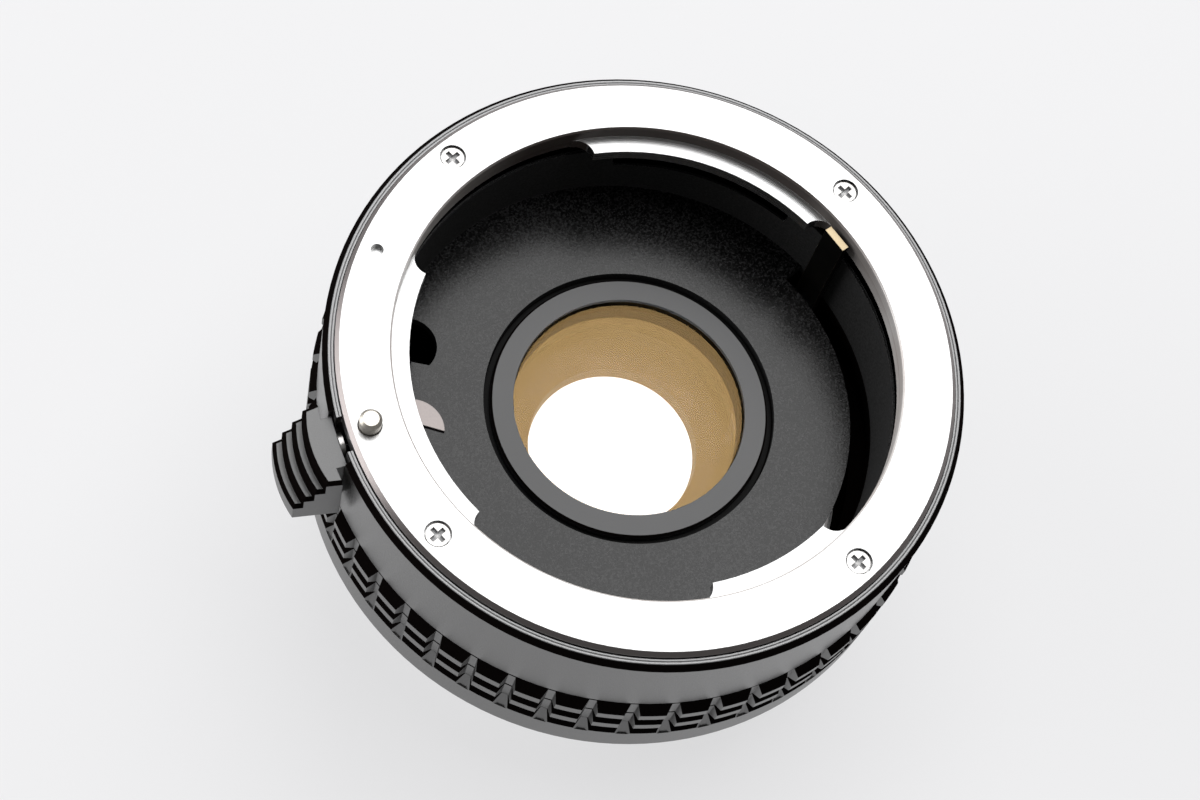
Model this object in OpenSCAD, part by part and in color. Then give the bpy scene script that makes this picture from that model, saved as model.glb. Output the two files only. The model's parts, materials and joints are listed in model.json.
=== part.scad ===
// Camera teleconverter with a three-lug bayonet on both ends, in millimetres.
// The optical axis is Z. The rear mounting face lies at z = 0 and the lens side looks along +Z.
// The lock pin and its release slider lie on -X.

/* [Body] */
// Distance between the two mounting faces
body_len = 28; // [27.5:0.5:36]
// Length of the smooth band, from the front mounting face to the grip
band_len = 10.85; // [9.5:0.05:12.5]
// Width of the barrel's rim around the front flange
rim_w = 1.1; // [1:0.1:3]
// How far the rim lies below the front mounting face
rim_drop = 0.65; // [0.5:0.05:1.5]
// Height of the rear housing's top above the rear mounting face
housing_h = 5.6; // [5.2:0.1:6.5]
// Thickness of the barrel's inner web
web_t = 1.5; // [1:0.1:2]

/* [Grip] */
// Height of the grip's crests above the smooth band
crest_h = 0.66; // [0.4:0.02:1.2]
// Length of the flat land on each crest
crest_land = 1.12; // [0.8:0.02:1.5]
// Depth of the grooves between crests, below the smooth band
groove_drop = 0.2; // [0:0.05:0.4]
// Number of notches around the grip
notch_count = 49; // [36:1:60]
// Width of a notch at its floor
notch_floor_w = 0.7; // [0.4:0.05:1]
// Width of a notch at the crests
notch_top_w = 1.5; // [1.1:0.05:2]

/* [Front mount] */
// Radius of the throat that takes the lens's bayonet
throat_r = 24.2; // [22.5:0.1:30]
// Depth of the throat, from the mounting face to the lugs
throat_h = 1.5; // [1.3:0.05:1.8]
// Width of the flange ring outside the throat
flange_w = 5.2; // [4.5:0.1:6]
// Bevel around the flange's outer edge
flange_edge = 0.4; // [0.2:0.05:0.5]
// Thickness of the flange ring
flange_t = 2; // [1.6:0.1:2.4]
// How far the lugs reach inward from the throat
lug_reach = 1.75; // [1.5:0.05:2]
// Thickness of the lugs
lug_t = 1.25; // [1:0.05:1.5]
// Radius of a mount screw's head
screw_head_r = 1.12; // [0.9:0.02:1.3]
// Radius of a mount screw's shank
screw_r = 0.7; // [0.5:0.05:0.8]

/* [Lock and release] */
// Radius of the lock pin's free tip
lock_pin_r = 1.05; // [0.85:0.05:1.3]
// How far the lock pin stands above the mounting face
lock_pin_h = 1.5; // [1.2:0.1:1.8]
// Travel of the release slider
release_travel = 1.8; // [1.5:0.1:2]
// Width of the slider's tongue in the barrel's slot
tongue_w = 3.2; // [2.6:0.1:3.6]
// Width of the slider's head where it is widest
slider_w = 8.4; // [7:0.1:10]
// Radial depth of each of the slider's steps
step_out = 0.88; // [0.7:0.02:1.1]
// Drop of each of the slider's steps
step_down = 1.5; // [1.2:0.05:1.8]
// Bevel along the edges of the slider's steps
step_edge = 0.36; // [0.2:0.02:0.45]

/* [Optics] */
// Radius of the glass elements
lens_r = 12.2; // [10:0.1:12.6]
// Depth of the baffle and the bezel below the front mounting face
baffle_depth = 11.9; // [9.5:0.1:12.4]
// Thickness of the baffle's floor
baffle_t = 1; // [0.8:0.1:1.2]
// Width of the bezel that shows around the front glass
bezel_w = 2.26; // [1.8:0.02:2.6]
// Height of the bezel's sharp inner edge above the front glass
bezel_lip = 0.45; // [0.35:0.05:0.9]
// Width of the dark groove around the bezel
groove_w = 0.67; // [0.5:0.01:0.9]
// Width of the lens cell's lip behind the rear glass
rear_lip_w = 3.95; // [2:0.05:5]

/* [Couplings] */
// Travel of the stop-down ring in degrees
stop_down_turn = 20; // [10:1:24]
// Travel of the aperture coupling ring in degrees
coupling_turn = 65; // [30:1:66]
// Thickness of each coupling ring
ring_t = 1.3; // [1:0.1:1.5]

/* [Rear mount] */
// Thickness of the rear mount's plate
plate_t = 1.8; // [1.6:0.1:2]
// Length of the rear bayonet below the mounting face
spigot_len = 5.2; // [4.8:0.1:5.4]
// Wall of the rear bayonet's spigot
spigot_wall = 1.05; // [0.9:0.05:1.1]

/* [Fits] */
// Radial clearance of the coupling rings on their journal, and of the lock pin in its hole
run_gap = 0.05; // [0.02:0.01:0.09]
// Radial clearance between fixed pieces that fit into each other
seat_gap = 0.05; // [0.02:0.01:0.1]
// Clearance between pieces that move past each other
free_gap = 0.3; // [0.2:0.05:0.4]
// Clearance of a screw's shank in its hole
screw_gap = 0.04; // [0.02:0.01:0.1]

/* [Hidden] */
$fn = 96;

// Overlap that makes a cut pass cleanly through a face
cut = 0.5;
// Small chamfer on metal edges
edge = 0.2;

// Heights, counted from the rear mounting face
z_front = body_len;
z_rim = z_front - rim_drop;
z_flange = z_front - flange_t;
z_lug_top = z_front - throat_h;
z_lug = z_lug_top - lug_t;
z_floor = z_front - baffle_depth;
z_web_top = z_floor - baffle_t;
z_web = z_web_top - web_t;
z_ring_1 = z_web - free_gap - ring_t;
z_ring_2 = z_ring_1 - free_gap - ring_t;
retainer_t = 1.5;
z_retainer = z_ring_2 - free_gap - retainer_t;
z_sleeve = z_retainer - 0.6;

// Radii of the mounts, from the throat outward and inward
flange_r = throat_r + flange_w;
recess_r = flange_r + 0.1;
band_r = flange_r + rim_w;
crest_r = band_r + crest_h;
grip_seat_r = band_r - 1.4;
hub_r = throat_r + 1.7;
collar_r = hub_r + 0.1;
lug_r = throat_r - lug_reach;
screw_circle_r = throat_r + 3;
pin_circle_r = throat_r + 3.15;
rear_screw_circle_r = throat_r + 1.6;

// Radii of the optics and of the journal for the coupling rings
cell_bore_r = lens_r + seat_gap;
bezel_in_r = lens_r - 0.73;
bezel_r = bezel_in_r + bezel_w;
baffle_hole_r = bezel_r + groove_w;
nose_r = baffle_hole_r - 0.1;
cell_r = nose_r + 0.65;
cell_tail_r = cell_r - 1.75;
sleeve_bore_r = cell_r + seat_gap;
journal_r = sleeve_bore_r + 2.5;
ring_bore_r = journal_r + run_gap;

// Radii of the rear mount and of the levers, from the spigot inward and outward
spigot_r = lug_r - 0.25;
spigot_in_r = spigot_r - spigot_wall;
male_lug_r = throat_r - 0.25;
rear_flange_r = flange_r - 0.1;
lever_t = 0.8;
rear_lever_r = spigot_in_r - 0.4;
ring_rim_r = rear_lever_r - lever_t - free_gap;
post_t = 1.2;
post_r = lug_r + 0.75;
tab_t = 0.75;
tab_r = throat_r - 0.5;
finger_t = 0.8;
finger_r = spigot_r + 1.3;
coupling_arm_r = max(tab_r, finger_r) + 0.1;
well_r = throat_r + 0.2;
floor_edge_r = lug_r - 0.35;
baffle_rim_r = hub_r;

// Angles about the optical axis, as seen from the lens side
screw_angle = 25.35;
dimple_angle = 142;
notch_phase = 1.45;
tab_angle = 18.2;
finger_angle = 24.8;
lever_angle = 180;
// Front lugs: start and end angles at the inner edge; each end runs out to the throat in a round
front_lugs = [[26, 84.2], [141.4, 206.8], [265.6, 297]];
// Rear lugs: they sit under the front lugs of the next mount, and pass its gaps 60 degrees on
rear_lugs = [[34, 74], [153, 196], [269, 293]];
// Leaves of the mount spring, under the front lugs
leaf_spans = [[32, 78], [155, 198], [269, 293]];
baffle_screw_angles = [60, 125, 240];
housing_screw_angles = [20, 140, 260];
rear_screw_angles = [65, 115, 215, 310];

function polar(r, a) = [r * cos(a), r * sin(a)];

module ring(r_in, r_out, z0, z1) {
    translate([0, 0, z0]) difference() {
        cylinder(r = r_out, h = z1 - z0);
        translate([0, 0, -cut]) cylinder(r = r_in, h = z1 - z0 + 2 * cut);
    }
}

// Wedge of a full circle between two angles, wide enough for any ring of the part
module wedge(a0, a1, z0, z1) {
    reach = 1.4 * crest_r;
    steps = ceil((a1 - a0) / 40);
    fan = [for (i = [0 : steps]) polar(reach, a0 + (a1 - a0) * i / steps)];
    translate([0, 0, z0]) linear_extrude(z1 - z0) polygon(concat([[0, 0]], fan));
}

module arc_bar(r_in, r_out, a0, a1, z0, z1) {
    intersection() {
        ring(r_in, r_out, z0, z1);
        wedge(a0, a1, z0 - cut, z1 + cut);
    }
}

// Bayonet lug whose two ends are rounds that run out to the throat
module rounded_lug(span, z0, z1) {
    spread = 2 * asin(lug_reach / 2 / lug_r);
    difference() {
        arc_bar(lug_r, hub_r, span[0] - spread, span[1] + spread, z0, z1);
        for (a = [span[0] - spread, span[1] + spread]) {
            on_circle(lug_r, a) rod(lug_reach, z0 - cut, z1 + cut);
        }
    }
}

// Cross-recessed screw: the head's seat is at z = 0, the shank points down
module screw(head_r, head_h, shank_r, shank_len) {
    cross_l = 1.4 * head_r;
    cross_w = 0.38 * head_r;
    cross_d = 0.5 * head_h;
    difference() {
        union() {
            cylinder(r = head_r, h = head_h);
            translate([0, 0, -shank_len]) cylinder(r = shank_r, h = shank_len + head_h / 2);
        }
        for (turn = [0, 90]) {
            rotate([0, 0, turn]) translate([-cross_l / 2, -cross_w / 2, head_h - cross_d])
                cube([cross_l, cross_w, cross_d + cut]);
        }
    }
}

// Places the children at an angle on a circle
module on_circle(r, a) {
    translate([r * cos(a), r * sin(a), 0]) rotate([0, 0, a]) children();
}

// Upright rod between two heights
module rod(r, z0, z1) {
    translate([0, 0, z0]) cylinder(r = r, h = z1 - z0);
}

// Front mount
counterbore_r = screw_head_r + 0.14;
counterbore_d = 0.95;
screw_head_h = 0.7;
front_screw_len = 5;
throat_relief = 0.1;
pin_shank_r = lock_pin_r + 0.03;
pin_foot_r = lock_pin_r - 0.1;
pin_hole_r = pin_shank_r + run_gap;
dimple_r = 0.6;
dimple_d = 0.7;

module front_screw_places() {
    for (i = [0 : 3]) {
        on_circle(screw_circle_r, screw_angle + 90 * i) children();
    }
}

module front_mount() {
    relief_r = throat_r + throat_relief;
    throat_edge = 0.16;
    section = [[throat_r + throat_edge, z_front], [flange_r - flange_edge, z_front],
        [flange_r, z_front - flange_edge], [flange_r, z_flange], [hub_r, z_flange], [hub_r, z_lug],
        [relief_r, z_lug], [relief_r, z_lug_top], [throat_r, z_lug_top], [throat_r, z_front - throat_edge]];
    color("gainsboro") difference() {
        union() {
            rotate_extrude() polygon(section);
            for (span = front_lugs) {
                rounded_lug(span, z_lug, z_lug_top);
            }
        }
        front_screw_places() {
            rod(counterbore_r, z_front - counterbore_d, z_front + cut);
            rod(screw_r + loose_gap, z_flange - cut, z_front);
        }
        on_circle(pin_circle_r, 180) rod(pin_hole_r, z_flange - cut, z_front + cut);
        on_circle(pin_circle_r, dimple_angle) rod(dimple_r, z_front - dimple_d, z_front + cut);
    }
}

module front_mount_screws() {
    color("silver") front_screw_places() translate([0, 0, z_front - counterbore_d])
        screw(screw_head_r, screw_head_h, screw_r, front_screw_len);
}

// Leaf spring ring on the baffle's wall; the lugs of a lens pass between the front lugs and its leaves
spring_t = 0.3;
z_wall_top = z_lug - 1.55 - spring_t;

module mount_spring() {
    color("dimgray") {
        ring(well_r + 0.1, hub_r - seat_gap, z_wall_top, z_wall_top + spring_t);
        for (span = leaf_spans) {
            arc_bar(lug_r + 0.25, well_r + 0.3, span[0], span[1], z_wall_top, z_wall_top + spring_t);
        }
    }
}

// Barrel and grip
// Side clearance of the slider in its slot, and of screws in the pieces that they hold
slide_gap = 0.15;
loose_gap = 0.12;
hole_spare = 0.3;
pocket_w = tongue_w + 2 * slide_gap;
neck_w = slider_w - 3.4;
neck_r = band_r - 0.3;
carrier_t = 1;
z_carrier = z_front - 6.2;
z_slider_top = z_front - 2;
z_slider = z_front - 9.2;
z_pocket = z_slider - release_travel - 0.2;
lock_spring_r = lock_pin_r;
z_lock_spring = z_pocket - 3.2;
lip_t = 0.5;
housing_screw_r = 0.55;
housing_screw_circle_r = collar_r + 1.5;
housing_screw_len = 6;

// Slots that the levers move in, and the kidney-shaped end of the stop-down slot
post_span = [lever_angle - 9, lever_angle - 4.9];
stop_down_slot = [post_span[0] - stop_down_turn - 3, post_span[1] + 1.5];
coupling_slot = [tab_angle - 5 - coupling_turn, tab_angle + 6];
slot_side = 0.3;

module lever_slots(z0, z1) {
    kidney = polar(throat_r - 1.65, 148.6);
    kidney_r = 3;
    kidney_span = [135, 152.6];
    slot_r = post_r + slot_side + 0.05;
    arc_bar(post_r - post_t - slot_side, slot_r, stop_down_slot[0], stop_down_slot[1], z0, z1);
    arc_bar(floor_edge_r, well_r, coupling_slot[0], coupling_slot[1], z0, z1);
    intersection() {
        translate([kidney[0], kidney[1], z0]) cylinder(r = kidney_r, h = z1 - z0);
        cylinder(r = slot_r, h = z1 + cut);
        wedge(kidney_span[0], kidney_span[1], z0 - cut, z1 + cut);
    }
}

module main_barrel() {
    rim_chamfer = [0.57, 0.65];
    // Fine line turned into the middle of the rim
    line_d = 0.07;
    line_r = (recess_r + band_r - rim_chamfer[0]) / 2;
    lip_r = nose_r + seat_gap;
    section = [[lip_r, z_web_top], [collar_r, z_web_top], [collar_r, z_flange], [recess_r, z_flange],
        [recess_r, z_rim], [line_r - line_d, z_rim], [line_r, z_rim - line_d], [line_r + line_d, z_rim],
        [band_r - rim_chamfer[0], z_rim], [band_r, z_rim - rim_chamfer[1]], [band_r, z_front - band_len],
        [grip_seat_r, z_front - band_len], [grip_seat_r, housing_h], [collar_r, housing_h], [collar_r, z_web],
        [journal_r, z_web], [journal_r, z_sleeve], [sleeve_bore_r, z_sleeve],
        [sleeve_bore_r, z_web_top - lip_t], [lip_r, z_web_top - lip_t]];
    color("#1b1b1d") difference() {
        rotate_extrude() polygon(section);
        front_screw_places()
            rod(screw_r + screw_gap, z_front - counterbore_d - front_screw_len - hole_spare, z_front);
        // Pocket for the carrier, open to the rim, and a shallow recess for the slider's neck
        translate([-band_r - 1, -pocket_w / 2, z_pocket])
            cube([band_r + 1 - collar_r + 0.6, pocket_w, z_front - z_pocket + cut]);
        intersection() {
            ring(neck_r - slide_gap, band_r + 1, z_pocket, z_front);
            translate([-band_r - 2, -neck_w / 2 - slide_gap, z_pocket - cut])
                cube([band_r, neck_w + 2 * slide_gap, z_front]);
        }
        on_circle(pin_circle_r, 180) rod(lock_spring_r + loose_gap, z_lock_spring, z_pocket + cut);
        lever_slots(z_web - cut, z_web_top + cut);
        for (a = baffle_screw_angles) {
            on_circle(baffle_screw_circle_r, a) rod(baffle_screw_r + loose_gap, z_web - cut, z_web_top + cut);
        }
        for (a = housing_screw_angles) {
            on_circle(housing_screw_circle_r, a)
                rod(housing_screw_r + screw_gap, housing_h - cut, housing_h + housing_screw_len);
        }
    }
}

module grip_ring() {
    z_top = z_front - band_len - 0.1;
    pitch = (z_top - housing_h) / 4;
    flank = pitch - crest_land;
    floor_r = band_r - 0.05;
    rear_edge = 0.35;
    groove_r = band_r - groove_drop;
    // Each row is a flank that rises to a narrow land; the last land runs to the rear edge
    rows = [for (k = [0 : 2]) for (p = [[groove_r, z_top - k * pitch], [crest_r, z_top - k * pitch - flank],
        [crest_r, z_top - (k + 1) * pitch]]) if (!(k == 2 && p[1] < z_top - 2 * pitch - flank)) p];
    section = concat([[grip_seat_r + seat_gap, z_top]], rows, [[crest_r, housing_h + rear_edge],
        [crest_r - rear_edge, housing_h], [grip_seat_r + seat_gap, housing_h]]);
    slope = (notch_top_w - notch_floor_w) / 2 / (crest_r - floor_r);
    mouth = notch_floor_w / 2 + slope * (crest_h + 1);
    notch = [[floor_r, -notch_floor_w / 2], [floor_r + crest_h + 1, -mouth], [floor_r + crest_h + 1, mouth],
        [floor_r, notch_floor_w / 2]];
    // In the last row the floor of a notch climbs from the foot of the flank almost to the land, and fans out
    z_last = z_top - 2 * pitch;
    foot = 0.2;
    lip = 0.13;
    climb_from = [groove_r + foot * (crest_r - groove_r) / flank, z_last - foot];
    climb = [crest_r - lip, z_last - flank - foot] - climb_from;
    climb_angle = atan2(climb[0], -climb[1]);
    fan_slope = 2.4;
    fan_h = 0.5;
    fan_w = 0.3;
    fan_mouth = fan_w + fan_slope * fan_h;
    fan = [[-fan_w, 0], [fan_w, 0], [fan_mouth, fan_h], [-fan_mouth, fan_h]];
    color("#202022") difference() {
        rotate_extrude() polygon(section);
        for (i = [0 : notch_count - 1]) {
            rotate([0, 0, notch_phase + i * 360 / notch_count]) {
                translate([0, 0, z_last - foot / 2]) linear_extrude(z_top - z_last + cut) polygon(notch);
                translate([climb_from[0], 0, climb_from[1]]) rotate([0, 90 - climb_angle, 0])
                    rotate([90, 0, 90]) linear_extrude(norm(climb)) polygon(fan);
            }
        }
    }
}

// Release: slider, screw, carrier and pin move together
ear_t = 0.45;
ear_x = -(band_r - 0.35);
slider_inner_r = crest_r + 0.06;
slider_screw_r = 0.5;
slider_hole_d = 1.7;
z_slider_screw = z_front - 4.2;

// One flank of the slider's head up to a step's height, with a bevel along its upper edge
module slider_flank(top) {
    lean = 9;
    reach = 2 * slider_w;
    profile = [[-reach, z_slider - cut], [0, z_slider - cut], [0, top - step_edge], [-step_edge, top],
        [-reach, top]];
    translate([1 - slider_inner_r, slider_w / 2, 0]) rotate([0, 0, lean]) translate([-reach, 0, 0])
        rotate([90, 0, 90]) linear_extrude(reach + cut) polygon(profile);
}

module release_slider() {
    first_r = slider_inner_r + 1.85;
    head_end = first_r + 3 * step_out;
    nose_arc_r = 12;
    foot_h = 0.7;
    color("#232325") difference() {
        union() {
            for (k = [0 : 3]) {
                top = z_slider_top - 0.2 * min(k, 1) - k * step_down;
                reach = first_r + k * step_out;
                intersection() {
                    ring(slider_inner_r, head_end + 1, z_slider, top);
                    translate([nose_arc_r - reach, 0, 0]) {
                        rod(nose_arc_r, z_slider - cut, top - step_edge);
                        translate([0, 0, top - step_edge])
                            cylinder(step_edge, nose_arc_r, nose_arc_r - step_edge);
                    }
                    slider_flank(top);
                    mirror([0, 1, 0]) slider_flank(top);
                }
            }
            intersection() {
                ring(neck_r, slider_inner_r + 0.4, z_slider + foot_h, z_slider_top);
                translate([-slider_inner_r - 1, -neck_w / 2, z_slider]) cube([4, neck_w, z_slider_top]);
            }
            translate([-slider_inner_r - 0.3, -tongue_w / 2, z_slider + foot_h])
                cube([slider_inner_r + 0.3 + ear_x, tongue_w, z_slider_top - z_slider - foot_h - 0.1]);
        }
        translate([ear_x, 0, z_slider_screw]) rotate([0, -90, 0])
            rod(slider_screw_r + screw_gap, -cut, slider_hole_d);
    }
}

module pin_carrier() {
    plate_w = tongue_w - 0.1;
    ear_w = 2.4;
    // Middle of the ear's round end
    z_ear = z_front - 1.9 - ear_w / 2;
    color("silver") difference() {
        union() {
            translate([ear_x, -plate_w / 2, z_carrier])
                cube([lock_pin_r - ear_x - pin_circle_r, plate_w, carrier_t]);
            translate([ear_x, -ear_w / 2, z_carrier]) cube([ear_t, ear_w, z_ear - z_carrier]);
            translate([ear_x, 0, z_ear]) rotate([0, 90, 0]) rod(ear_w / 2, 0, ear_t);
        }
        on_circle(pin_circle_r, 180)
            rod(pin_foot_r + seat_gap / 2, z_carrier - cut, z_carrier + carrier_t + cut);
        translate([ear_x, 0, z_slider_screw]) rotate([0, 90, 0])
            rod(slider_screw_r + screw_gap, -cut, ear_t + cut);
    }
}

module slider_screw() {
    head_r = 0.9;
    head_h = 0.5;
    color("silver") translate([ear_x + ear_t, 0, z_slider_screw]) rotate([0, 90, 0])
        screw(head_r, head_h, slider_screw_r, ear_t + slider_hole_d - 0.2);
}

module lock_pin() {
    tip_edge = 0.3;
    // The shank tapers to the free tip inside the flange
    z_tip = z_front + 0.05;
    taper = 0.75;
    section = [[0, z_carrier], [pin_foot_r, z_carrier], [pin_foot_r, z_carrier + carrier_t],
        [pin_shank_r, z_carrier + carrier_t], [pin_shank_r, z_tip - taper], [lock_pin_r, z_tip],
        [lock_pin_r, z_front + lock_pin_h - tip_edge], [lock_pin_r - tip_edge, z_front + lock_pin_h],
        [0, z_front + lock_pin_h]];
    color("ivory") on_circle(pin_circle_r, 180) rotate_extrude() polygon(section);
}

module lock_spring() {
    wire = 0.35;
    color("slategray") on_circle(pin_circle_r, 180)
        ring(lock_spring_r - wire, lock_spring_r, z_lock_spring, z_carrier);
}

// Front baffle: a cup whose floor is slotted for the levers
baffle_screw_r = 0.45;
baffle_screw_len = 3;
baffle_screw_circle_r = (well_r + baffle_rim_r) / 2;

module front_baffle() {
    section = [[baffle_hole_r, z_web_top], [baffle_rim_r, z_web_top], [baffle_rim_r, z_wall_top],
        [well_r, z_wall_top], [well_r, z_floor], [baffle_hole_r, z_floor]];
    color("#2a2a2b") difference() {
        rotate_extrude() polygon(section);
        lever_slots(z_web_top - cut, z_floor + cut);
        for (a = baffle_screw_angles) {
            on_circle(baffle_screw_circle_r, a)
                rod(baffle_screw_r + screw_gap, z_web_top - cut, z_web_top + baffle_screw_len + hole_spare);
        }
    }
}

module baffle_screws() {
    head_r = 0.75;
    head_h = 0.6;
    color("silver") for (a = baffle_screw_angles) {
        on_circle(baffle_screw_circle_r, a) translate([0, 0, z_web]) rotate([180, 0, 0])
            screw(head_r, head_h, baffle_screw_r, web_t + baffle_screw_len);
    }
}

// Lens cell and glass
z_cell = plate_t - 0.3;
z_cell_lip = z_cell + 1.3;
lock_ring_t = 1.5;
z_cell_step = z_sleeve + lock_ring_t;
z_cell_floor = z_web_top - 1.1;
// Slope of the seats that lie on the glass's bulging faces, a little steeper than the glass
glass_slope = 0.22;
// Rise of the bezel's seat from the glass's edge to the bezel's inner edge
seat_rise = glass_slope * (lens_r - bezel_in_r);
z_glass_front = z_floor - bezel_lip - seat_rise;

module lens_cell() {
    lip_r = lens_r - rear_lip_w;
    bezel_seat_r = bezel_r + seat_gap;
    section = [[lip_r, z_cell], [cell_tail_r, z_cell], [cell_tail_r, z_cell_step], [cell_r, z_cell_step],
        [cell_r, z_web_top - lip_t], [nose_r, z_web_top - lip_t], [nose_r, z_web_top + 0.1],
        [bezel_seat_r, z_web_top + 0.1], [bezel_seat_r, z_cell_floor], [cell_bore_r, z_cell_floor],
        [cell_bore_r, z_cell_lip], [lip_r, z_cell_lip]];
    color("#18181a") rotate_extrude() polygon(section);
}

module cell_lock_ring() {
    color("#303032") difference() {
        ring(cell_tail_r + seat_gap, sleeve_bore_r - seat_gap, z_sleeve, z_cell_step);
        for (a = [90, 270]) {
            on_circle(cell_r, a) translate([-2.5, -0.6, z_sleeve - cut]) cube([3, 1.2, 0.7 + cut]);
        }
    }
}

module bezel_ring() {
    skirt_r = lens_r + 0.4;
    section = [[lens_r, z_glass_front], [skirt_r, z_glass_front], [skirt_r, z_cell_floor + 0.05],
        [bezel_r, z_cell_floor + 0.05], [bezel_r, z_floor - edge], [bezel_r - edge, z_floor],
        [bezel_in_r, z_floor], [bezel_in_r, z_floor - bezel_lip]];
    color("#5d5d60") rotate_extrude() polygon(section);
}

// Edges of the glass elements, and the radii of their faces
edge_1 = 2.6;
gap_1 = 1.7;
edge_2 = 0.7;
edge_3 = 3.2;
edge_4 = 3.2;
z_glass_1 = z_glass_front - edge_1;
z_glass_2 = z_glass_1 - gap_1 - edge_2;
z_glass_3 = z_glass_2 - edge_3;
z_glass_4_top = z_cell_lip + edge_4;
spacer_w = 1;
// Radii of the front and rear faces of the elements, from front to rear
curve_1 = [150, 285];
curve_2 = [60, 45];
curve_3 = [45, 90];
curve_4 = [120, 50];
// Room above and below an edge for a bulging face
bulge = 3;

function sag(r) = r - sqrt(r * r - lens_r * lens_r);

// Circle, in the lens's half section, that meets the glass's edge at height z: bulging up, or bulging down
glass_fn = 720;
module arc_up(r, z) {
    translate([0, z + sag(r) - r]) circle(r = r, $fn = glass_fn);
}
module arc_down(r, z) {
    translate([0, z - sag(r) + r]) circle(r = r, $fn = glass_fn);
}

module blank(z0, z1) {
    translate([0, z0]) square([lens_r, z1 - z0]);
}

module front_lens() {
    color("tan", 0.5) rotate_extrude() difference() {
        intersection() {
            blank(z_glass_1, z_glass_front + bulge);
            arc_up(curve_1[0], z_glass_front);
        }
        arc_up(curve_1[1], z_glass_1);
    }
}

module doublet_crown() {
    color("lightcyan", 0.5) rotate_extrude() intersection() {
        blank(z_glass_2 - bulge, z_glass_2 + edge_2 + bulge);
        arc_up(curve_2[0], z_glass_2 + edge_2);
        arc_down(curve_2[1], z_glass_2);
    }
}

module doublet_flint() {
    color("lightblue", 0.5) rotate_extrude() difference() {
        blank(z_glass_3, z_glass_2);
        arc_up(curve_3[1], z_glass_3);
        arc_down(curve_3[0], z_glass_2);
    }
}

module rear_lens() {
    color("lightcyan", 0.5) rotate_extrude() difference() {
        blank(z_cell_lip, z_glass_4_top);
        arc_up(curve_4[1], z_cell_lip);
        arc_down(curve_4[0], z_glass_4_top);
    }
}

module front_spacer() {
    z_seat = z_glass_2 + edge_2;
    color("#202020") rotate_extrude()
        polygon([[lens_r, z_seat], [lens_r, z_glass_1], [lens_r - spacer_w, z_glass_1],
            [lens_r - spacer_w, z_seat + glass_slope * spacer_w]]);
}

module rear_spacer() {
    color("#202020") ring(lens_r - spacer_w, lens_r, z_glass_4_top, z_glass_3);
}

// Stop-down ring with its front blade and rear lever; coupling ring with its tab and finger
blade_t = 0.6;
blade_r = 3.1;
z_blade = z_front - 6.2;
post_w = 1.6;
post_y = 2;
rear_lever_w = 1.9;
tab_w = 2.7;
finger_w = 2;
z_tab = z_front - 0.8;
z_finger = 0.2 - throat_h;
z_to_lug = throat_h + lug_t + 0.1;
rear_lever_span = [lever_angle + 0.9, lever_angle + 6.4];

module stop_down_ring() {
    color("#8c8c8c") {
        ring(ring_bore_r, ring_rim_r, z_ring_1, z_ring_1 + ring_t);
        arc_bar(ring_rim_r - 0.5, post_r, post_span[0] - 1, post_span[1] + 1, z_ring_1, z_ring_1 + ring_t);
        arc_bar(ring_rim_r - 0.5, rear_lever_r + 0.2, rear_lever_span[0] - 1, rear_lever_span[1] + 1,
            z_ring_1, z_ring_1 + ring_t);
    }
}

module stop_down_lever() {
    foot = z_ring_1 + ring_t;
    // The blade is a disc cut off along a slanting line between these two points
    blade_cut = [[-0.5, 1.22], [2.9, -0.95]];
    blade_x = post_r - 0.5;
    blade_y = 0.75;
    reach = blade_r + 1;
    color("lightgray") rotate([0, 0, lever_angle - 180]) {
        translate([-post_r, post_y, foot]) cube([post_t, post_w, z_blade - foot]);
        translate([-blade_x, blade_y, z_blade]) linear_extrude(blade_t) intersection() {
            circle(r = blade_r);
            polygon([blade_cut[0], blade_cut[1], [reach, blade_cut[1][1]], [reach, reach],
                [blade_cut[0][0], reach]]);
        }
    }
}

module stop_down_rear_lever() {
    reach = spigot_len + 1.4;
    color("lightgray") rotate([0, 0, lever_angle - 180])
        translate([-rear_lever_r, -free_gap - rear_lever_w, -reach])
            cube([lever_t, rear_lever_w, z_ring_1 + reach]);
}

module coupling_ring() {
    color("#8c8c8c") {
        ring(ring_bore_r, ring_rim_r, z_ring_2, z_ring_2 + ring_t);
        arc_bar(ring_rim_r - 0.5, coupling_arm_r, tab_angle - 4.6, finger_angle + 4.6,
            z_ring_2, z_ring_2 + ring_t);
    }
}

module coupling_tab() {
    foot = z_ring_2 + ring_t;
    color("goldenrod") rotate([0, 0, tab_angle])
        translate([tab_r - tab_t, -tab_w / 2, foot]) cube([tab_t, tab_w, z_tab - foot]);
}

module coupling_finger() {
    color("goldenrod") rotate([0, 0, finger_angle])
        translate([finger_r - finger_t, -finger_w / 2, z_finger])
            cube([finger_t, finger_w, z_ring_2 - z_finger]);
}

// Return springs of the two rings, along arcs beside the rings, and the posts that hold them
coil_r = 0.55;
coil_circle_r = post_r - 1.8;
stop_down_coil = [rear_lever_span[1] + 2, rear_lever_span[1] + 30];
coupling_coil = [finger_angle + 5.4, finger_angle + 105];

module coil(span, z) {
    color("slategray") rotate([0, 0, span[0]]) rotate_extrude(angle = span[1] - span[0])
        translate([coil_circle_r, z]) circle(r = coil_r);
}

module stop_down_spring() {
    coil(stop_down_coil, z_ring_1 + ring_t / 2);
}

module coupling_spring() {
    coil(coupling_coil, z_ring_2 + ring_t / 2);
}

module spring_posts() {
    spring_post_r = 0.5;
    color("silver") for (p = [[stop_down_coil[1] + 1.8, z_ring_1], [coupling_coil[1] + 1.8, z_ring_2]]) {
        on_circle(coil_circle_r, p[0]) translate([0, 0, p[1]]) cylinder(r = spring_post_r, h = z_web - p[1]);
    }
}

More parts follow.
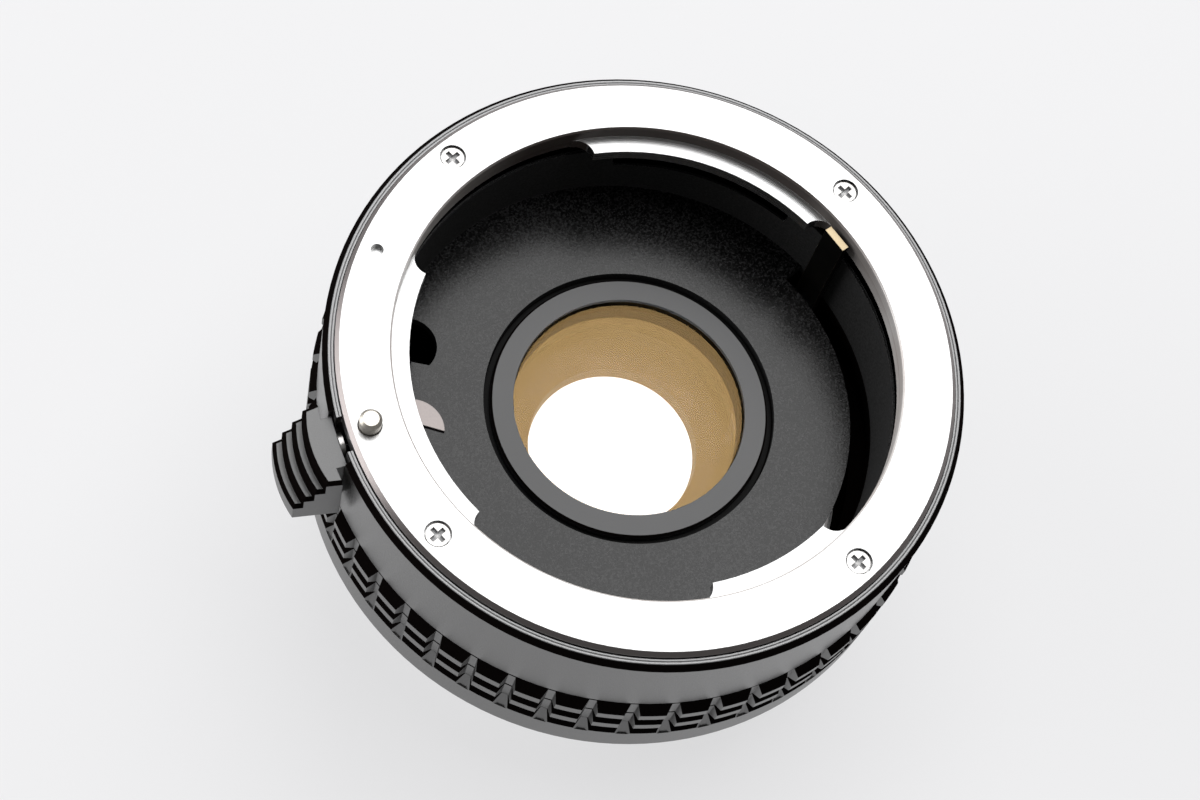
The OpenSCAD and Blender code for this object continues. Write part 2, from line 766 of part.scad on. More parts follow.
module ring_retainer() {
    color("#6a6a6c") difference() {
        ring(journal_r + seat_gap, ring_rim_r, z_retainer, z_retainer + retainer_t);
        for (a = [0, 180]) {
            on_circle(ring_rim_r, a) translate([-1, -0.6, z_retainer - cut]) cube([2, 1.2, 0.7 + cut]);
        }
    }
}

// Rear housing and rear mount
floor_t = 2.8;
housing_floor_r = finger_r + 0.6;
housing_spigot_r = collar_r - seat_gap;
housing_spigot_in_r = max(housing_floor_r, coupling_arm_r + free_gap);
housing_spigot_h = 2;
housing_head_r = 1;
housing_head_h = 0.6;
z_housing_seat = plate_t + housing_head_h + 0.1;

module rear_housing() {
    section = [[housing_floor_r, plate_t], [rear_flange_r + 0.1, plate_t], [crest_r - 0.25, housing_h],
        [housing_spigot_r, housing_h], [housing_spigot_r, housing_h + housing_spigot_h],
        [housing_spigot_in_r, housing_h + housing_spigot_h], [housing_spigot_in_r, plate_t + floor_t],
        [housing_floor_r, plate_t + floor_t]];
    color("#1b1b1d") difference() {
        rotate_extrude() polygon(section);
        for (a = housing_screw_angles) {
            on_circle(housing_screw_circle_r, a) {
                rod(housing_head_r + loose_gap, plate_t - cut, z_housing_seat);
                rod(housing_screw_r + loose_gap, plate_t, housing_h + cut);
            }
        }
        rear_screw_places() rod(screw_r + screw_gap, plate_t - cut, plate_t + floor_t - 0.4);
    }
}

module housing_screws() {
    color("silver") for (a = housing_screw_angles) {
        on_circle(housing_screw_circle_r, a) translate([0, 0, z_housing_seat]) rotate([180, 0, 0])
            screw(housing_head_r, housing_head_h, housing_screw_r,
                housing_h - z_housing_seat + housing_screw_len - 1);
    }
}

module rear_screw_places() {
    for (a = rear_screw_angles) {
        on_circle(rear_screw_circle_r, a) children();
    }
}

module rear_mount() {
    tip = 0.3;
    male_lug_t = 1.2;
    tip_r = spigot_r - 0.05;
    section = [[spigot_in_r, -spigot_len], [tip_r - tip, -spigot_len], [tip_r, tip - spigot_len],
        [tip_r, -z_to_lug], [spigot_r, -z_to_lug], [spigot_r, 0], [rear_flange_r - edge, 0],
        [rear_flange_r, edge], [rear_flange_r, plate_t], [spigot_in_r, plate_t]];
    color("gainsboro") difference() {
        union() {
            rotate_extrude() polygon(section);
            for (span = rear_lugs) {
                arc_bar(spigot_r - 0.5, male_lug_r, span[0], span[1], -z_to_lug - male_lug_t, -z_to_lug);
            }
        }
        arc_bar(finger_r - finger_t - free_gap, finger_r + free_gap, finger_angle - coupling_turn - 4,
            finger_angle + 4, -cut, plate_t + cut);
        rear_screw_places() {
            rod(counterbore_r, -cut, counterbore_d);
            rod(screw_r + loose_gap, 0, plate_t + cut);
        }
        on_circle(pin_circle_r, 180) rod(lock_pin_r + run_gap, -cut, plate_t + cut);
    }
}

module rear_mount_screws() {
    color("silver") rear_screw_places() translate([0, 0, counterbore_d]) rotate([180, 0, 0])
        screw(screw_head_r, screw_head_h, screw_r, plate_t + floor_t - 0.7 - counterbore_d);
}

module rear_baffle() {
    thick = 0.8;
    color("#1e1e1f") difference() {
        ring(cell_tail_r + 0.2, finger_r - finger_t - 0.4, plate_t, plate_t + thick);
        arc_bar(rear_lever_r - lever_t - free_gap, rear_lever_r + free_gap,
            rear_lever_span[0] - stop_down_turn - 1.2, rear_lever_span[1] + 1.2,
            plate_t - cut, plate_t + thick + cut);
    }
}

main_barrel();
grip_ring();
rear_housing();
housing_screws();
front_mount();
front_mount_screws();
mount_spring();
front_baffle();
baffle_screws();
lock_pin();
pin_carrier();
lock_spring();
release_slider();
slider_screw();
lens_cell();
cell_lock_ring();
bezel_ring();
front_lens();
front_spacer();
doublet_crown();
doublet_flint();
rear_spacer();
rear_lens();
stop_down_ring();
stop_down_lever();
stop_down_rear_lever();
stop_down_spring();
coupling_ring();
coupling_tab();
coupling_finger();
coupling_spring();
spring_posts();
ring_retainer();
rear_mount();
rear_mount_screws();
rear_baffle();
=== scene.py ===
import json
import math

import bmesh
import bpy
from mathutils import Matrix, Vector


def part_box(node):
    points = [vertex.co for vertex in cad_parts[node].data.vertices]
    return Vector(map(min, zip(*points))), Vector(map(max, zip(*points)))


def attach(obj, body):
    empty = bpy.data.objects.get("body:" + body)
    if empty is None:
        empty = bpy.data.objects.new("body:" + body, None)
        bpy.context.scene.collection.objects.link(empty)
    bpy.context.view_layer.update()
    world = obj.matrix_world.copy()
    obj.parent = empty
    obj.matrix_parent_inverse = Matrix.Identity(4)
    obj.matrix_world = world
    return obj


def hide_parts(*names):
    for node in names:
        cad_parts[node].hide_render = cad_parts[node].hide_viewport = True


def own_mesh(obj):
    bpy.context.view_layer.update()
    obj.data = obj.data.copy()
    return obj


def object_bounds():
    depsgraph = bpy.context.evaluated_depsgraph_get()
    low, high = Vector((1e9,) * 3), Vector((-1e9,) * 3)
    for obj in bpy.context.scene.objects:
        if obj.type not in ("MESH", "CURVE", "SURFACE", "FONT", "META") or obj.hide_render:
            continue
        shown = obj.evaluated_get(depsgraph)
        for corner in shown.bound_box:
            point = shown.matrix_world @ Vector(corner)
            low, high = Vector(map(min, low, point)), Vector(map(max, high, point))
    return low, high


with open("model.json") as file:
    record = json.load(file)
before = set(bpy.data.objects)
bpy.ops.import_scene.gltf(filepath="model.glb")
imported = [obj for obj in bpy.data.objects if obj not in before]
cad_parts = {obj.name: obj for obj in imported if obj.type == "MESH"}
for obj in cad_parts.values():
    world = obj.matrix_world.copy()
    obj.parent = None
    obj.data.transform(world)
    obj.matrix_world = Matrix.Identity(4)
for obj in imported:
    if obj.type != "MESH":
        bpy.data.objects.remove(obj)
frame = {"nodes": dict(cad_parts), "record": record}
cad_box = [list(v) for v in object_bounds()]
nodes = frame["nodes"]
scene = bpy.context.scene
MM = 0.001


class Surface:
    """A Principled material whose patterns are in the row frame, in metres."""

    def __init__(self, name, **constants):
        self.material = bpy.data.materials.new(name)
        self.material.use_nodes = True
        self.tree = self.material.node_tree
        self.shader = self.tree.nodes["Principled BSDF"]
        for socket, value in constants.items():
            self.shader.inputs[socket.replace("_", " ")].default_value = value
        where = self.add("ShaderNodeTexCoord")
        self.place, self.normal = where.outputs["Object"], where.outputs["Normal"]
        self.soft = None

    def add(self, kind, inputs=None, **settings):
        node = self.tree.nodes.new(kind)
        for key, value in settings.items():
            setattr(node, key, value)
        for key, value in (inputs or {}).items():
            if isinstance(value, bpy.types.NodeSocket):
                self.tree.links.new(value, node.inputs[key])
            else:
                node.inputs[key].default_value = value
        return node

    def set(self, socket, value):
        self.tree.links.new(value, self.shader.inputs[socket])

    def arithmetic(self, operation, a, b):
        return self.add("ShaderNodeMath", {0: a, 1: b}, operation=operation).outputs[0]

    def times(self, a, b):
        return self.arithmetic("MULTIPLY", a, b)

    def plus(self, a, b):
        return self.arithmetic("ADD", a, b)

    def minus(self, a, b):
        return self.arithmetic("SUBTRACT", a, b)

    def between(self, share, a, b):
        """A number that goes from a to b as share goes from 0 to 1."""
        return self.add("ShaderNodeMix", {0: share, 2: a, 3: b}).outputs[0]

    def mix(self, share, a, b):
        """A colour that goes from a to b as share goes from 0 to 1."""
        return self.add("ShaderNodeMix", {0: share, 6: a, 7: b}, data_type="RGBA").outputs[2]

    def dot(self, a, b):
        return self.add("ShaderNodeVectorMath", {0: a, 1: b}, operation="DOT_PRODUCT").outputs["Value"]

    def part(self, vector, axis):
        return self.add("ShaderNodeSeparateXYZ", {"Vector": vector}).outputs[axis]

    def height(self):
        return self.part(self.place, "Z")

    def radius(self):
        flat = self.add("ShaderNodeVectorMath", {0: self.place, 1: (1.0, 1.0, 0.0)}, operation="MULTIPLY")
        length = self.add("ShaderNodeVectorMath", {0: flat.outputs["Vector"]}, operation="LENGTH")
        return length.outputs["Value"]

    def noise(self, per_mm, detail=3.0, roughness=0.55):
        inputs = {"Vector": self.place, "Scale": per_mm / MM, "Detail": detail, "Roughness": roughness}
        return self.add("ShaderNodeTexNoise", inputs).outputs["Fac"]

    def turned(self, per_mm):
        """Lines left by turning: they run round the optical axis on flat and on round faces alike."""
        inputs = {"W": self.plus(self.radius(), self.height()), "Scale": per_mm / MM, "Detail": 2.0}
        return self.add("ShaderNodeTexNoise", inputs, noise_dimensions="1D").outputs["Fac"]

    def spread(self, value, low, high, at=(0.3, 0.7)):
        """Stretches a value's range, given by at, to the range from low to high."""
        inputs = {"Value": value, "From Min": at[0], "From Max": at[1], "To Min": low, "To Max": high}
        return self.add("ShaderNodeMapRange", inputs).outputs["Result"]

    def colours(self, value, low, high, at=(0.3, 0.7)):
        node = self.add("ShaderNodeValToRGB", {"Fac": value})
        ends = node.color_ramp.elements
        ends[0].position, ends[1].position = at
        ends[0].color, ends[1].color = (*low, 1.0), (*high, 1.0)
        return node.outputs["Color"]

    def clouded(self, fine, per_mm, share):
        """A fine pattern with a share of broad clouds mixed in."""
        return self.between(share, fine, self.noise(per_mm, detail=2.0))

    def past(self, length, limit_mm, blur_mm=0.1):
        """From 0 to 1 as a length passes a limit."""
        return self.spread(length, 0.0, 1.0, ((limit_mm - blur_mm) * MM, (limit_mm + blur_mm) * MM))

    def upward(self, at):
        """From 0 to 1 as a face's normal turns toward +Z, over the range of its Z given by at."""
        return self.spread(self.part(self.normal, "Z"), 0.0, 1.0, at)

    def rounded(self, radius_mm):
        """Softens the edges and returns where they are, from 0 on a face to 1 on an edge."""
        self.soft = self.add("ShaderNodeBevel", {"Radius": radius_mm * MM}, samples=4).outputs["Normal"]
        sharp = self.add("ShaderNodeNewGeometry").outputs["Normal"]
        return self.spread(self.dot(self.soft, sharp), 1.0, 0.0, at=(0.86, 0.99))

    def bump(self, height, strength, depth_mm):
        inputs = {"Height": height, "Strength": strength, "Distance": depth_mm * MM}
        if self.soft is not None:
            inputs["Normal"] = self.soft
        self.set("Normal", self.add("ShaderNodeBump", inputs).outputs["Normal"])


# Each pair of colours is the darkest and the lightest of a grain
# Painted shade: the black for faces picked to stand in shade
SHADE_TONE = ((0.0026, 0.0020, 0.0019), (0.0052, 0.0040, 0.0038))
# Painted highlight: the light grey of a top land
HIGHLIGHT_TONE = ((0.16, 0.16, 0.163), (0.24, 0.24, 0.243))
# The painted shade's roughness
SHADE_ROUGHNESS = 0.7


def shaded_faces(s, shaded, risers, inside):
    """Where a surface gets painted shade, black, rough and without specular, from 0 to 1."""
    turn_blur = 0.03
    black = s.minus(*(s.upward((z - turn_blur, z + turn_blur)) for z in shaded))
    if risers:
        outward = s.spread(s.part(s.normal, "X"), 1.0, 0.0, at=(-0.85, -0.75))
        black = s.plus(black, s.times(outward, s.past(s.height(), risers, blur_mm=0.05)))
    if inside:
        black = s.between(s.past(s.radius(), inside), 1.0, black)
    return black


def painted(name, low, high, rough, grain, bump, depth, worn, ior=1.5, gloss=0.5, edge=0.08, at=(0.3, 0.7),
            shaded=None, tone=SHADE_TONE, risers=None, inside=None, lit_above=None):
    """Black or grey finish with a fine grain, worn in patches along its edges. Faces whose normal has a Z
    within one of the listed ranges get painted shade: black in the range of tone, rough and without specular.
    So do upright faces toward -X above the height risers, and all faces within the radius inside. Above the
    top height given, a light grey is painted over the black as a highlight. Heights and radii are in
    millimetres."""
    s = Surface(name, IOR=ior, Specular_IOR_Level=gloss)
    patches = s.spread(s.noise(per_mm=1.5), 0.0, 1.0, at=(0.35, 0.6))
    on_edge = s.times(s.rounded(edge), patches)
    fine = s.noise(grain, detail=4.0, roughness=0.65)
    both = s.clouded(fine, per_mm=0.08, share=0.15)
    colour = s.mix(on_edge, s.colours(both, low, high, at), (*worn, 1.0))
    roughness = s.spread(both, *rough)
    # Painted shade: the faces picked turn black and rough and lose their specular
    if shaded:
        black = shaded_faces(s, shaded, risers, inside)
        # Painted highlight: above a height the black gives way to light grey
        if lit_above:
            lit_top = s.past(s.height(), lit_above, blur_mm=0.02)
            black = s.times(black, s.minus(1.0, lit_top))
            colour = s.mix(lit_top, colour, s.colours(fine, *HIGHLIGHT_TONE))
        colour = s.mix(black, colour, s.colours(fine, *tone))
        roughness = s.between(black, roughness, SHADE_ROUGHNESS)
        s.set("Specular IOR Level", s.between(black, gloss, 0.0))
    s.set("Base Color", colour)
    s.set("Roughness", roughness)
    s.bump(fine, bump, depth)
    return s.material


# Painted shade along turned metal's edges: its colour, how much of it, and how much more roughness
TURNED_EDGE_SHADE = {"colour": (0.40, 0.39, 0.38, 1.0), "share": 0.5, "roughness": 0.35}


def turned_metal(name, low, high, rough, lines, bump, depth, mount=None, edge=0.08):
    """Turned metal. Mount gives a bayonet mount's other finishes: its throat's wall between two radii, which
    is duller and streaked along its turning marks, partly with painted reflection, and has painted shade
    toward one side;
    and its bevels beyond a radius, coloured darker as a painted reflection."""
    s = Surface(name, Metallic=1.0)
    on_edge = s.rounded(edge)
    line = s.turned(lines)
    both = s.clouded(line, per_mm=0.12, share=0.4)
    colour = s.colours(both, low, high)
    roughness = s.spread(both, *rough)
    if mount:
        sloped = s.minus(1.0, s.upward(at=(0.75, 0.95)))
        tilted = s.times(sloped, s.upward(at=(0.3, 0.5)))
        # Painted reflection: bevels beyond a radius get a darker, brownish colour
        bevel = s.times(tilted, s.past(s.radius(), mount["bevel_r"]))
        colour = s.mix(bevel, colour, (*mount["bevel"], 1.0))
        inner, outer = (s.past(s.radius(), r) for r in mount["wall_r"])
        wall = s.times(sloped, s.minus(inner, outer))
        # Streaks along the turning marks, partly real and partly painted reflection
        streaks = s.between(0.5, s.noise(per_mm=0.1), s.turned(per_mm=3))
        streaks_and_sheen = s.colours(streaks, *mount["streaks_and_sheen"])
        # Painted shade: the wall darkens toward one side
        reach = (mount["painted_shade_from"] * MM, mount["painted_shade_full"] * MM)
        painted_shade = s.spread(s.dot(s.place, mount["painted_shade_toward"]), 0.0, 1.0, reach)
        colour = s.mix(wall, colour, s.mix(painted_shade, streaks_and_sheen, (*mount["painted_shade"], 1.0)))
        roughness = s.plus(roughness, s.times(wall, mount["wall_roughness"]))
        s.set("Metallic", s.between(wall, 1.0, mount["wall_metallic"]))
    # Painted shade: the edges that the bevel node finds get the edge colour
    s.set("Base Color", s.mix(s.times(on_edge, TURNED_EDGE_SHADE["share"]), colour, TURNED_EDGE_SHADE["colour"]))
    s.set("Roughness", s.plus(roughness, s.times(on_edge, TURNED_EDGE_SHADE["roughness"])))
    s.bump(line, bump, depth)
    return s.material


def plain_metal(name, low, high, rough, grain, bump, depth, edge=0.06, sides=None, hollow_shade=None, inner=None):
    """Plain metal. Sides are the colours of faces that do not look along +Z; hollows that ambient occlusion
    finds get a colour painted as shade and lose their metal sheen; inner is a radius in millimetres and the
    colours of what lies within it."""
    s = Surface(name, Metallic=1.0)
    on_edge = s.rounded(edge)
    fine = s.noise(grain, roughness=0.6)
    both = s.clouded(fine, per_mm=0.3, share=0.5)
    colour = s.colours(both, low, high)
    if sides:
        colour = s.mix(s.upward(at=(0.6, 0.9)), s.colours(both, *sides), colour)
    if inner:
        reach, *tones = inner
        colour = s.mix(s.past(s.radius(), reach, blur_mm=0.08), s.colours(both, *tones), colour)
    # Painted shade: hollows found by ambient occlusion get this colour and lose their metal sheen
    if hollow_shade:
        nearby = s.add("ShaderNodeAmbientOcclusion", {"Distance": 0.5 * MM}, samples=8, only_local=True)
        hollow = s.spread(nearby.outputs["AO"], 1.0, 0.0, at=(0.75, 0.97))
        colour = s.mix(hollow, colour, (*hollow_shade, 1.0))
        s.set("Metallic", s.minus(1.0, hollow))
    edge_gain, edge_share = 1.25, 0.6
    lighter = (min(1.0, v * edge_gain) for v in high)
    s.set("Base Color", s.mix(s.times(on_edge, edge_share), colour, (*lighter, 1.0)))
    s.set("Roughness", s.spread(both, *rough))
    s.bump(fine, bump, depth)
    return s.material


def glass(name, coat, ior):
    """Clear glass whose coating colours its reflections."""
    s = Surface(name, Transmission_Weight=1.0, IOR=ior, Specular_Tint=(*coat, 1.0))
    broad = s.noise(per_mm=0.05, detail=2.0)
    s.set("Base Color", s.colours(broad, (0.99, 0.99, 0.99), (1.0, 1.0, 1.0)))
    s.set("Roughness", s.spread(broad, 0.0, 0.01))
    return s.material


# Ranges of the Z of a face's normal
SLOPES, UPRIGHT = (0.395, 0.93), (-1.1, 0.5)
# The chrome mounts' walls and bevels, with lengths in millimetres, and the painted shade and reflections on
# them
MOUNT_WALLS = {
    "wall_r": (23.5, 26.0), "wall_roughness": 0.2, "wall_metallic": 0.25,
    "streaks_and_sheen": ((0.42, 0.36, 0.33), (0.90, 0.89, 0.88)),
    "painted_shade": (0.06, 0.047, 0.042), "painted_shade_toward": (0.42, 0.91, 0.0),
    "painted_shade_from": 5.0, "painted_shade_full": 20.0,
    "bevel_r": 28.7, "bevel": (0.26, 0.235, 0.23),
}
# Slopes, risers and an inside radius pick faces for painted shade; a top height gets a painted highlight
FINISHES = {
    "black_metal": (painted, dict(
        low=(0.009, 0.0080, 0.0078), high=(0.015, 0.0138, 0.0135), rough=(0.25, 0.34), grain=9, bump=0.12,
        depth=0.01, worn=(0.05, 0.048, 0.046), ior=2.0, edge=0.03, shaded=SLOPES, inside=27.0, lit_above=27.29)),
    "grip_black": (painted, dict(
        low=(0.009, 0.0080, 0.0078), high=(0.016, 0.0148, 0.0145), rough=(0.28, 0.38), grain=8, bump=0.16,
        depth=0.012, worn=(0.05, 0.048, 0.046), ior=2.0, shaded=SLOPES)),
    "chrome_plate": (turned_metal, dict(
        low=(0.46, 0.46, 0.46), high=(0.56, 0.56, 0.56), rough=(0.22, 0.34), lines=14, bump=0.1, depth=0.006,
        mount=MOUNT_WALLS)),
    "steel_bright": (plain_metal, dict(
        low=(0.40, 0.39, 0.38), high=(0.50, 0.49, 0.48), rough=(0.24, 0.36), grain=6, bump=0.1, depth=0.008,
        hollow_shade=(0.30, 0.30, 0.304))),
    "lever_steel": (plain_metal, dict(
        low=(0.15, 0.15, 0.154), high=(0.19, 0.19, 0.194), rough=(0.3, 0.42), grain=4, bump=0.12, depth=0.008,
        inner=(22.3, (0.18, 0.163, 0.158), (0.23, 0.205, 0.198)))),
    "pin_steel": (turned_metal, dict(
        low=(0.56, 0.52, 0.46), high=(0.66, 0.63, 0.57), rough=(0.36, 0.46), lines=10, bump=0.1,
        depth=0.006)),
    "spring_steel": (plain_metal, dict(
        low=(0.008, 0.008, 0.0082), high=(0.02, 0.02, 0.0205), rough=(0.2, 0.34), grain=6, bump=0.1,
        depth=0.008)),
    "coil_steel": (plain_metal, dict(
        low=(0.28, 0.28, 0.29), high=(0.42, 0.42, 0.43), rough=(0.25, 0.4), grain=6, bump=0.1, depth=0.006)),
    "baffle_black": (painted, dict(
        low=(0.001, 0.001, 0.001), high=(0.030, 0.030, 0.0305), rough=(0.20, 0.26), grain=4.5, bump=1.0,
        depth=0.013, worn=(0.02, 0.02, 0.02), ior=1.42, edge=0.03, at=(0.46, 0.62), shaded=UPRIGHT,
        tone=((0.024, 0.024, 0.0242), (0.042, 0.042, 0.0425)))),
    "cell_black": (painted, dict(
        low=(0.002, 0.002, 0.002), high=(0.004, 0.004, 0.004), rough=(0.4, 0.55), grain=8, bump=0.2,
        depth=0.015, worn=(0.006, 0.006, 0.006), gloss=0.06, edge=0.03)),
    "bezel_grey": (painted, dict(
        low=(0.018, 0.018, 0.0195), high=(0.026, 0.026, 0.028), rough=(0.42, 0.52), grain=8, bump=0.12,
        depth=0.008, worn=(0.02, 0.02, 0.02), ior=1.7, edge=0.04, shaded=SLOPES)),
    "ring_metal": (turned_metal, dict(
        low=(0.36, 0.36, 0.37), high=(0.5, 0.5, 0.51), rough=(0.3, 0.45), lines=10, bump=0.15, depth=0.008)),
    "tab_gold": (plain_metal, dict(
        low=(0.26, 0.20, 0.12), high=(0.40, 0.33, 0.22), rough=(0.3, 0.45), grain=5, bump=0.12, depth=0.008,
        sides=((0.010, 0.009, 0.008), (0.03, 0.027, 0.022)))),
    "slider_black": (painted, dict(
        low=(0.020, 0.020, 0.0205), high=(0.046, 0.046, 0.047), rough=(0.32, 0.46), grain=6, bump=0.4,
        depth=0.03, worn=(0.05, 0.05, 0.05), ior=1.9, shaded=SLOPES, risers=20.9)),
    "coated_glass": (glass, dict(coat=(1.0, 0.63, 0.24), ior=1.66)),
    "clear_glass": (glass, dict(coat=(0.12, 0.08, 0.07), ior=1.52)),
}
MATERIALS = {name: make(name, **values) for name, (make, values) in FINISHES.items()}

for row in frame["record"]["subparts"]:
    slots = nodes[row["node"]].data.materials
    slots.clear()
    slots.append(MATERIALS[row["material_slot"]])


def piece(name, mesh, node, slot):
    """Puts a finished mesh in a CAD node's place."""
    obj = bpy.data.objects.new(name, mesh)
    scene.collection.objects.link(obj)
    mesh.materials.append(MATERIALS[slot])
    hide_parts(node)
    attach(obj, "body")
    return obj


def smooth_mesh(name, bm, sharp_degrees):
    mesh = bpy.data.meshes.new(name)
    bm.to_mesh(mesh)
    bm.free()
    mesh.shade_smooth()
    mesh.set_sharp_from_angle(angle=math.radians(sharp_degrees))
    return mesh


def box_mm(node):
    return tuple(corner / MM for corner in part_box(node))


ON_AXIS = 1e-6


def lathe(name, outline, segments=144):
    """A body of revolution about Z. Outline lists radii and heights in millimetres, from axis to axis."""
    bm = bmesh.new()
    turns = [2 * math.pi * k / segments for k in range(segments)]
    rings = []
    for r, z in outline:
        if r < ON_AXIS:
            rings.append([bm.verts.new((0.0, 0.0, z * MM))])
        else:
            rings.append([bm.verts.new((r * MM * math.cos(a), r * MM * math.sin(a), z * MM)) for a in turns])
    for low, high in zip(rings, rings[1:]):
        for k in range(segments):
            n = (k + 1) % segments
            corners = [low[k % len(low)], low[n % len(low)], high[n % len(high)], high[k % len(high)]]
            bm.faces.new(list(dict.fromkeys(corners)))
    bmesh.ops.recalc_face_normals(bm, faces=bm.faces)
    return smooth_mesh(name, bm, sharp_degrees=40)


def rise(radius, curve):
    """How far a spherical face's middle lies beyond its edge."""
    return abs(curve) - math.sqrt(curve * curve - radius * radius)


def cap(radius, edge_z, curve, steps=20):
    """Points of a spherical face from the axis to its edge; a positive curve bulges toward +Z."""
    points = []
    for k in range(steps + 1):
        r = radius * k / steps
        points.append((r, edge_z + math.copysign(rise(radius, curve) - rise(r, curve), curve)))
    return points


# Curves of the front and rear faces in millimetres; the doublet's two glasses share one
CEMENTED, CEMENT_HALF = -45.0, 0.02
ELEMENTS = {
    "front_lens": ("coated_glass", 150.0, 285.0),
    "doublet_crown": ("clear_glass", 60.0, CEMENTED),
    "doublet_flint": ("clear_glass", CEMENTED, 90.0),
    "rear_lens": ("clear_glass", -120.0, 50.0),
}


def ground_glass(node, front, rear):
    """A lens element as high as its CAD node, whose top and bottom its bulging faces touch in the middle."""
    low, high = box_mm(node)
    radius = (high.x - low.x) / 2
    top = high.z - (rise(radius, front) if front > 0 else 0.0)
    bottom = low.z + (rise(radius, rear) if rear < 0 else 0.0)
    if front == CEMENTED:
        top -= CEMENT_HALF
    if rear == CEMENTED:
        bottom += CEMENT_HALF
    return lathe(node + "_ground", cap(radius, top, front) + cap(radius, bottom, rear)[::-1])


for node, (slot, front, rear) in ELEMENTS.items():
    piece(node + "_ground", ground_glass(node, front, rear), node, slot)


def wire(name, path, radius_mm, sides=10):
    """Round wire along a path in millimetres, with flat ends."""
    bm = bmesh.new()
    path = [Vector(p) * MM for p in path]
    angles = [2 * math.pi * i / sides for i in range(sides)]
    across = None
    rings = []
    for k, point in enumerate(path):
        along = (path[min(k + 1, len(path) - 1)] - path[max(k - 1, 0)]).normalized()
        if across is None:
            across = along.orthogonal()
        across = (across - along * across.dot(along)).normalized()
        other = along.cross(across)
        spokes = [math.cos(a) * across + math.sin(a) * other for a in angles]
        rings.append([bm.verts.new(point + radius_mm * MM * spoke) for spoke in spokes])
    for low, high in zip(rings, rings[1:]):
        for i in range(sides):
            n = (i + 1) % sides
            bm.faces.new((low[i], low[n], high[n], high[i]))
    bm.faces.new(rings[0][::-1])
    bm.faces.new(rings[-1])
    return smooth_mesh(name, bm, sharp_degrees=50)


def lock_helix():
    """Compression spring round the lock pin, with its end turns closed."""
    low, high = box_mm("lock_spring")
    wire_r, turns, steps = 0.17, 9, 22
    mean_r = (high.x - low.x) / 2 - wire_r
    middle = (low + high) / 2
    closed_turn = 2 * wire_r
    open_height = high.z - low.z - 2 * wire_r - 2 * closed_turn
    path = []
    for k in range(turns * steps + 1):
        turn = k / steps
        open_share = min(max((turn - 1.0) / (turns - 2.0), 0.0), 1.0)
        closed = closed_turn * (min(turn, 1.0) + max(turn - turns + 1.0, 0.0))
        z = low.z + wire_r + closed + open_share * open_height
        a = 2 * math.pi * turn
        path.append((middle.x + mean_r * math.cos(a), middle.y + mean_r * math.sin(a), z))
    return wire("lock_helix", path, wire_r)


def arc_helix(name, node, start, end):
    """Tension spring bent round the axis from one angle to another, in degrees, at the height of its node."""
    circle_r, coil_r, wire_r = 21.4, 0.55, 0.13
    turn_degrees, steps = 0.825, 14
    low, high = box_mm(node)
    middle_z, swing_r = (low.z + high.z) / 2, coil_r - wire_r
    last = round((end - start) / turn_degrees) * steps
    path = []
    for k in range(last + 1):
        a = math.radians(start + (end - start) * k / last)
        swing = 2 * math.pi * k / steps
        r = circle_r + swing_r * math.cos(swing)
        path.append((r * math.cos(a), r * math.sin(a), middle_z + swing_r * math.sin(swing)))
    return wire(name, path, wire_r, sides=8)


helix = piece("lock_helix", lock_helix(), "lock_spring", "coil_steel")
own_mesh(helix)
for ring, span in {"stop_down": (-171.5, -143.7), "coupling": (30.3, 129.7)}.items():
    node, name = ring + "_spring", ring + "_helix"
    piece(name, arc_helix(name, node, *span), node, "coil_steel")

# A pale floor that glows as painted light, in a pool under the object: distance from axis in metres, and
# brightness
LIGHT_POOL = ((0.0, 0.95), (0.015, 0.95), (0.022, 0.49), (0.10, 0.49), (0.25, 0.22))
FLOOR_SIZE = 6.0
bpy.ops.mesh.primitive_plane_add(size=FLOOR_SIZE, location=(0.0, 0.0, cad_box[0][2]))
floor = bpy.context.object
floor.name = "floor"
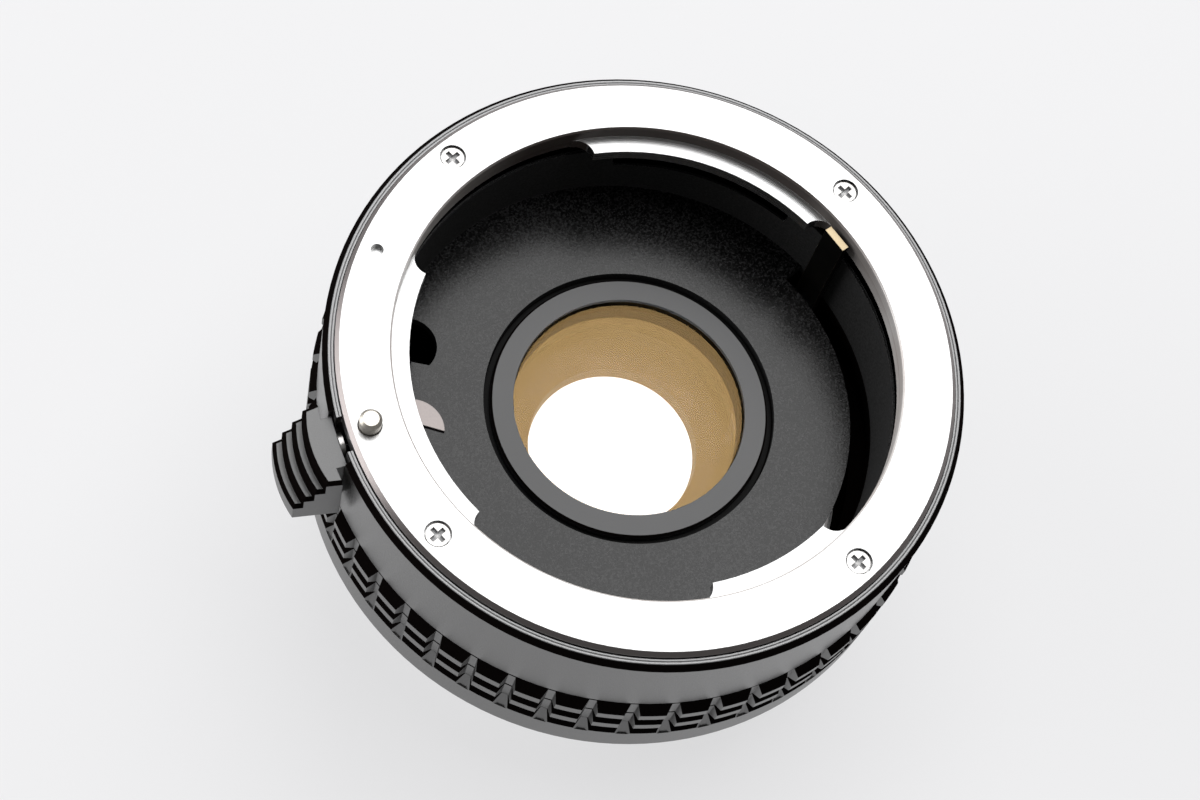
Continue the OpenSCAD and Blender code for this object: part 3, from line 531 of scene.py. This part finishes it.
# Painted light: the floor's emission makes it glow though it is no lamp
pale = Surface("pale_floor", Roughness=0.8, Emission_Strength=1.3)
paper = pale.noise(per_mm=0.004)
pale.set("Base Color", pale.colours(paper, (0.19, 0.19, 0.193), (0.21, 0.21, 0.213)))
reach = LIGHT_POOL[-1][0]
light_pool = pale.add("ShaderNodeValToRGB", {"Fac": pale.spread(pale.radius(), 0.0, 1.0, (0.0, reach))})
stops = light_pool.color_ramp.elements
for distance, _ in LIGHT_POOL[1:-1]:
    stops.new(distance / reach)
for stop, (_, level) in zip(stops, LIGHT_POOL):
    stop.color = (level, level, level * 1.01, 1.0)
pale.set("Emission Color", light_pool.outputs["Color"])
floor.data.materials.append(pale.material)

world = bpy.data.worlds.new("studio")
scene.world = world
world.use_nodes = True
sky = world.node_tree.nodes["Background"]
sky.inputs["Color"].default_value = (1.0, 1.0, 1.0, 1.0)
sky.inputs["Strength"].default_value = 0.18


def softbox(name, toward, away, width, height, radiance):
    """A rectangular lamp in a direction from the origin, turned to face it."""
    lamp = bpy.data.lights.new(name, "AREA")
    lamp.shape = "RECTANGLE"
    lamp.size, lamp.size_y = width, height
    lamp.energy = radiance * math.pi * width * height
    box = bpy.data.objects.new(name, lamp)
    box.location = Vector(toward).normalized() * away
    box.rotation_euler = (-box.location).to_track_quat("-Z", "Y").to_euler()
    scene.collection.objects.link(box)


softbox("key_softbox", toward=(0.27, 0.34, 0.90), away=0.6, width=0.66, height=0.66, radiance=3.0)
softbox("fill_softbox", toward=(-0.81, 0.46, 0.36), away=0.7, width=0.6, height=0.4, radiance=4.0)
softbox("back_softbox", toward=(0.70, 0.66, 0.28), away=0.9, width=1.0, height=0.45, radiance=1.0)

# The camera's place and axes were fitted to the mount's circles in the photo
lens = bpy.data.cameras.new("camera")
lens.sensor_width = 36.0
lens.lens = 72.0
lens.clip_start = 0.01
camera = bpy.data.objects.new("camera", lens)
place = (-0.06571, -0.07809, 0.22713)
right = (0.93316, -0.32336, 0.15703)
up = (0.23820, 0.88339, 0.40358)
back = (-0.26922, -0.33920, 0.90137)
camera.matrix_world = Matrix.Translation(place) @ Matrix((right, up, back)).transposed().to_4x4()
scene.collection.objects.link(camera)
scene.camera = camera
scene.view_settings.view_transform = "Standard"
